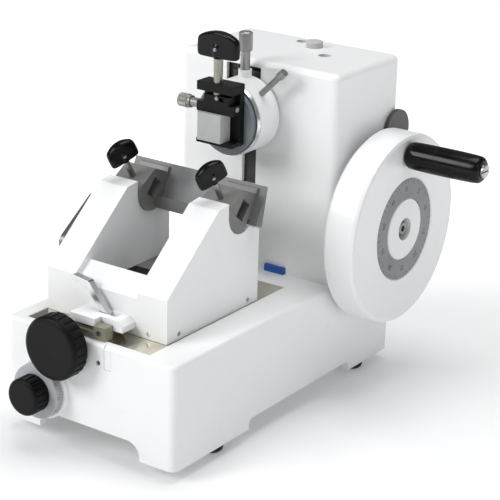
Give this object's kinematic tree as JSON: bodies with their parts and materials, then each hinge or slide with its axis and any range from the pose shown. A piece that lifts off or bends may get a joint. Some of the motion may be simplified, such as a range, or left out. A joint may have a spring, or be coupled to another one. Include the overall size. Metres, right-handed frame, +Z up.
{
  "type": "rotary microtome",
  "caption": "Hand-driven rotary microtome: a handwheel lifts and feeds the specimen head past a blade held on a sliding knife base.",
  "frame": {"origin": "middle of the overall footprint, at the bottom of the rubber feet", "axes": "+X towards the handwheel's handle, +Y from the knobs at the front to the housing at the rear, +Z up"},
  "size_m": [0.326, 0.4462, 0.367],
  "materials": {
    "white_enamel": "satin enamel",
    "bed_steel": "ground and polished",
    "rail_steel": "ground",
    "screw_steel": "turned",
    "foot_rubber": "matt",
    "key_enamel": "satin enamel",
    "tab_blue": "matt",
    "cap_grey": "matt",
    "cast_grey": "machined and as cast",
    "inner_steel": "ground",
    "bronze": "machined",
    "dial_grey": "printed",
    "drum_grey": "satin anodised",
    "black_plastic": "glossy",
    "lock_grey": "satin",
    "ring_chrome": "polished",
    "disc_grey": "satin",
    "clamp_black": "black oxide",
    "block_grey": "matt",
    "knurl_grey": "knurled",
    "spindle_steel": "turned",
    "holder_grey": "ground",
    "blade_steel": "honed",
    "lever_grey": "brushed"
  },
  "bodies": {
    "frame": {"base_casting": "white_enamel", "bed_plate": "bed_steel", "dovetail_rail": "rail_steel", "rail_stop": "rail_steel", "base_screws": "screw_steel", "rubber_feet": "foot_rubber", "front_key": "key_enamel", "housing_cover": "white_enamel", "seam_tab": "tab_blue", "oil_cap": "cap_grey", "guide_column": "cast_grey", "bearing_pedestal": "cast_grey", "shaft_bearings": "inner_steel", "index_ring": "white_enamel", "lock_stud": "screw_steel"},
    "wheel": {"handwheel": "white_enamel", "wheel_dial": "dial_grey", "hub_screw": "screw_steel", "main_shaft": "inner_steel", "crank_disc": "cast_grey", "handle_spindle": "inner_steel"},
    "grip": {"handle_grip": "black_plastic"},
    "wheel_lock": {"wheel_lock_lever": "lock_grey"},
    "slider": {"slider_block": "bronze"},
    "carriage": {"vertical_carriage": "cast_grey", "gib_strips": "bronze", "yoke_plate": "cast_grey"},
    "feed_slide": {"feed_ram": "inner_steel", "feed_nut": "bronze", "head_barrel": "white_enamel", "bevel_ring": "ring_chrome"},
    "feed_spindle": {"feed_screw": "inner_steel", "ratchet_wheel": "inner_steel"},
    "coarse_feed": {"coarse_knob": "black_plastic", "coarse_shaft": "inner_steel"},
    "thickness_setting": {"thickness_knob": "black_plastic", "thickness_drum": "drum_grey", "thickness_shaft": "inner_steel"},
    "tilting_head": {"swivel_disc": "disc_grey", "clamp_frame": "clamp_black", "clamp_screws": "screw_steel", "specimen_block": "block_grey"},
    "jaw": {"upper_jaw": "clamp_black", "jaw_screws": "screw_steel"},
    "jaw_spindle": {"clamp_spindle": "spindle_steel", "clamp_wing_knob": "black_plastic"},
    "jaw_side_screw": {"side_screw": "knurl_grey"},
    "head_tilt_screw": {"tilt_screw": "knurl_grey"},
    "head_lock": {"head_lock_screw": "knurl_grey"},
    "knife_carriage": {"knife_base_casting": "white_enamel", "knife_base_screws": "screw_steel", "clamp_tongue": "white_enamel", "lever_pin": "screw_steel"},
    "base_lever": {"base_clamp_lever": "ring_chrome"},
    "blade_holder": {"knife_holder": "holder_grey", "pressure_plate": "holder_grey", "knife": "blade_steel"},
    "blade_screw_left": {"knife_wing_screw_left": "black_plastic"},
    "blade_screw_right": {"knife_wing_screw_right": "black_plastic"},
    "tilt_lock": {"tilt_lock_lever": "lever_grey"}
  },
  "joints": [
    {"name": "wheel_spin", "type": "hinge", "parent": "frame", "child": "wheel", "pos_m": [-0.163, 0.12685, 0.1667], "axis": [1, 0, 0], "continuous": true},
    {"name": "grip_spin", "type": "hinge", "parent": "wheel", "child": "grip", "pos_m": [-0.163, 0.12685, 0.244], "axis": [1, 0, 0], "continuous": true},
    {"name": "slider_turn", "type": "hinge", "parent": "wheel", "child": "slider", "pos_m": [-0.163, 0.12685, 0.1967], "axis": [1, 0, 0], "continuous": true},
    {"name": "wheel_lock_swing", "type": "hinge", "parent": "frame", "child": "wheel_lock", "pos_m": [-0.163, 0.16085, 0.208], "axis": [1, 0, 0], "range_deg": [0, 30]},
    {"name": "head_stroke", "type": "slide", "parent": "frame", "child": "carriage", "axis": [0, 0, 1], "range_m": [-0.06, 0]},
    {"name": "specimen_feed", "type": "slide", "parent": "carriage", "child": "feed_slide", "axis": [0, -1, 0], "range_m": [0, 0.02]},
    {"name": "feed_spindle_turn", "type": "hinge", "parent": "carriage", "child": "feed_spindle", "pos_m": [-0.0665, -0.19115, 0.276], "axis": [0, 1, 0], "range_deg": [0, 7200]},
    {"name": "coarse_feed_turn", "type": "hinge", "parent": "frame", "child": "coarse_feed", "pos_m": [-0.089, -0.19115, 0.107], "axis": [0, 1, 0], "range_deg": [0, 3600]},
    {"name": "thickness_turn", "type": "hinge", "parent": "frame", "child": "thickness_setting", "pos_m": [-0.116, -0.19115, 0.054], "axis": [0, 1, 0], "range_deg": [0, 300]},
    {"name": "head_tilt", "type": "hinge", "parent": "feed_slide", "child": "tilting_head", "pos_m": [-0.163, 0.03685, 0.276], "axis": [1, 0, 0], "range_deg": [-3, 3]},
    {"name": "tilt_screw_turn", "type": "hinge", "parent": "feed_slide", "child": "head_tilt_screw", "pos_m": [-0.0665, 0.05035, 0.012], "axis": [0, 0, 1], "range_deg": [-540, 540]},
    {"name": "head_lock_turn", "type": "hinge", "parent": "feed_slide", "child": "head_lock", "pos_m": [-0.0665, 0.04085, 0.276], "axis": [0.7133, 0, 0.7009], "range_deg": [0, 180]},
    {"name": "jaw_lift", "type": "slide", "parent": "tilting_head", "child": "jaw", "axis": [0, 0, 1], "range_m": [0, 0.0025]},
    {"name": "clamp_screw_turn", "type": "hinge", "parent": "jaw", "child": "jaw_spindle", "pos_m": [-0.0655, 0.00485, 0.012], "axis": [0, 0, 1], "range_deg": [0, 720]},
    {"name": "side_screw_turn", "type": "hinge", "parent": "jaw", "child": "jaw_side_screw", "pos_m": [-0.163, 0.00605, 0.2917], "axis": [1, 0, 0], "range_deg": [0, 720]},
    {"name": "knife_base_slide", "type": "slide", "parent": "frame", "child": "knife_carriage", "axis": [0, 1, 0], "range_m": [0, 0.012]},
    {"name": "base_lever_swing", "type": "hinge", "parent": "knife_carriage", "child": "base_lever", "pos_m": [-0.0655, -0.19115, 0.1312], "axis": [0, 1, 0], "range_deg": [0, 100]},
    {"name": "knife_tilt", "type": "hinge", "parent": "knife_carriage", "child": "blade_holder", "pos_m": [-0.163, -0.04215, 0.211], "axis": [1, 0, 0], "range_deg": [0, 8]},
    {"name": "blade_screw_left_turn", "type": "hinge", "parent": "blade_holder", "child": "blade_screw_left", "pos_m": [-0.125, -0.05039, 0.22492], "axis": [0, -0.5299, 0.848], "range_deg": [0, 720]},
    {"name": "blade_screw_right_turn", "type": "hinge", "parent": "blade_holder", "child": "blade_screw_right", "pos_m": [-0.0195, -0.05039, 0.22492], "axis": [0, -0.5299, 0.848], "range_deg": [0, 720]},
    {"name": "tilt_lock_swing", "type": "hinge", "parent": "knife_carriage", "child": "tilt_lock", "pos_m": [-0.163, -0.08015, 0.199], "axis": [1, 0, 0], "range_deg": [0, 30]}
  ],
  "couplings": [
    {"joint": "slider_turn", "follows": "wheel_spin", "ratio": -1},
    {"joint": "coarse_feed_turn", "follows": "specimen_feed", "rad_per_m": 3141.6},
    {"joint": "feed_spindle_turn", "follows": "specimen_feed", "rad_per_m": 6283.2},
    {"joint": "head_tilt", "follows": "tilt_screw_turn", "ratio": 0.0055556},
    {"joint": "clamp_screw_turn", "follows": "jaw_lift", "rad_per_m": 5026.5}
  ]
}
